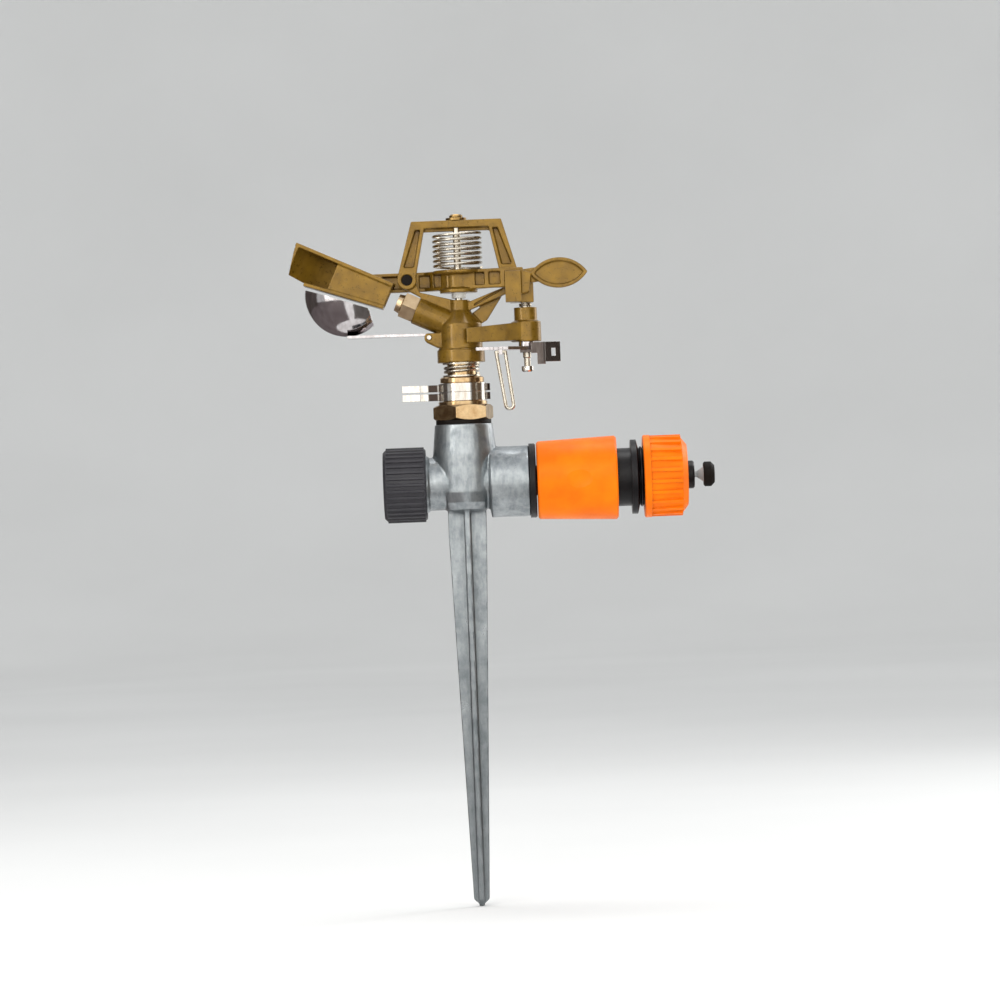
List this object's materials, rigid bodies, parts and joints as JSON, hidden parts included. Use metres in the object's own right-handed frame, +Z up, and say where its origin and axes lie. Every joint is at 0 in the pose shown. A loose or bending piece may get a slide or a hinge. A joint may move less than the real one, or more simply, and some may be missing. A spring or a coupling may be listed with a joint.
{
  "type": "impact sprinkler",
  "caption": "Impact sprinkler head with drive arm, deflector and part-circle trip on a flow-through ground spike, with an end cap and a quick-connect hose coupler.",
  "frame": {"origin": "on the riser's axis at soil level, 24 mm below the cross pipe's axis", "axes": "+Z up the riser, +X along the cross pipe towards the hose, -Y the front"},
  "size_m": [0.1856, 0.0372, 0.3077],
  "materials": {
    "zinc": "as-cast zinc alloy, satin",
    "gold_lacquer": "gold lacquer over a metal casting, semi-gloss",
    "brass": "machined brass",
    "nozzle_brass": "machined, coppery brass",
    "chrome": "polished",
    "steel": "drawn wire and turned steel",
    "rubber": "matte black",
    "black_plastic": "moulded, satin black",
    "grey_plastic": "moulded, dark grey",
    "orange_plastic": "moulded, orange",
    "light_plastic": "moulded, light grey"
  },
  "bodies": {
    "base": {"spike_tee": "zinc", "bearing_nipple": "brass", "riser_gasket": "rubber", "hose_adapter": "black_plastic", "adapter_gasket": "rubber"},
    "cap_washer": {"end_cap_washer": "rubber"},
    "cap": {"end_cap": "grey_plastic"},
    "lower_collar": {"lower_stop_collar": "chrome"},
    "upper_collar": {"upper_stop_collar": "chrome"},
    "head": {"head_casting": "gold_lacquer", "inner_tube": "brass", "thrust_washer": "light_plastic", "seal_washer": "rubber", "bearing_washers": "chrome", "bearing_spring": "steel", "nozzle": "nozzle_brass", "fulcrum_pin": "steel", "pin_cap": "gold_lacquer", "arm_spring": "steel", "arm_buffer": "rubber", "deflector_pin": "steel", "trip_pin": "steel", "trip_pin_cap": "chrome", "trip_spring": "steel"},
    "arm": {"drive_arm": "gold_lacquer", "arm_bushing": "brass"},
    "deflector": {"deflector": "chrome"},
    "trip": {"trip_hammer": "gold_lacquer", "trip_plate": "chrome", "trip_bracket": "chrome"},
    "wire": {"trip_wire": "steel"},
    "o_ring": {"spigot_o_ring": "rubber"},
    "coupler": {"coupler_body": "black_plastic", "coupler_seal": "rubber", "locking_jaws": "light_plastic", "sleeve_spring": "steel", "valve_spring": "steel"},
    "sleeve": {"release_sleeve": "orange_plastic"},
    "valve": {"valve_stem": "light_plastic", "valve_disc": "rubber"},
    "grip": {"grip_ring": "light_plastic"},
    "nut": {"hose_nut": "orange_plastic"}
  },
  "joints": [
    {"name": "head_spin", "type": "hinge", "parent": "base", "child": "head", "pos_m": [0, 0, 0.0776], "axis": [0, 0, 1], "range_deg": [-130, 130]},
    {"name": "arm_swing", "type": "hinge", "parent": "head", "child": "arm", "pos_m": [0, 0, 0.114], "axis": [0, 0, 1], "range_deg": [-110, 0], "stiffness_Nm_per_rad": 0.02, "springref_deg": 17.19},
    {"name": "deflector_tilt", "type": "hinge", "parent": "head", "child": "deflector", "pos_m": [-0.0139, 0, 0.0891], "axis": [0, 1, 0], "range_deg": [-35, 0]},
    {"name": "trip_flip", "type": "hinge", "parent": "head", "child": "trip", "pos_m": [0.0293, 0, 0.09], "axis": [0, 0, 1], "range_deg": [0, 14]},
    {"name": "trip_wire_fold", "type": "hinge", "parent": "trip", "child": "wire", "pos_m": [0.0176, -0.0128, 0.0812], "axis": [1, 0, 0], "range_deg": [-165, 0]},
    {"name": "lower_collar_turn", "type": "hinge", "parent": "base", "child": "lower_collar", "pos_m": [0, 0, 0.0625], "axis": [0, 0, 1], "range_deg": [-130, 130]},
    {"name": "upper_collar_turn", "type": "hinge", "parent": "base", "child": "upper_collar", "pos_m": [0, 0, 0.0665], "axis": [0, 0, 1], "range_deg": [-130, 130]},
    {"name": "end_cap_travel", "type": "slide", "parent": "base", "child": "cap_washer", "axis": [-1, 0, 0], "range_m": [0, 0.01]},
    {"name": "end_cap_unscrew", "type": "hinge", "parent": "cap_washer", "child": "cap", "pos_m": [-0.0365, 0, 0.024], "axis": [-1, 0, 0], "range_deg": [0, 1980]},
    {"name": "coupler_turn", "type": "hinge", "parent": "base", "child": "o_ring", "pos_m": [0.0492, 0, 0.024], "axis": [1, 0, 0], "continuous": true},
    {"name": "coupler_pull", "type": "slide", "parent": "o_ring", "child": "coupler", "axis": [1, 0, 0], "range_m": [0, 0.03]},
    {"name": "sleeve_slide", "type": "slide", "parent": "coupler", "child": "sleeve", "axis": [1, 0, 0], "range_m": [0, 0.004], "stiffness_N_per_m": 600, "springref_m": -0.008, "deforming": ["sleeve_spring"]},
    {"name": "valve_travel", "type": "slide", "parent": "coupler", "child": "valve", "axis": [1, 0, 0], "range_m": [-0.0039, 0], "deforming": ["valve_spring"]},
    {"name": "hose_nut_travel", "type": "slide", "parent": "coupler", "child": "grip", "axis": [1, 0, 0], "range_m": [0, 0.009]},
    {"name": "hose_nut_unscrew", "type": "hinge", "parent": "grip", "child": "nut", "pos_m": [0.09, 0, 0.024], "axis": [1, 0, 0], "range_deg": [0, 1080]}
  ],
  "couplings": [
    {"joint": "end_cap_travel", "follows": "end_cap_unscrew", "m_per_rad": 0.00028871},
    {"joint": "hose_nut_travel", "follows": "hose_nut_unscrew", "m_per_rad": 0.00047746},
    {"joint": "valve_travel", "follows": "coupler_pull", "ratio": -0.13}
  ]
}
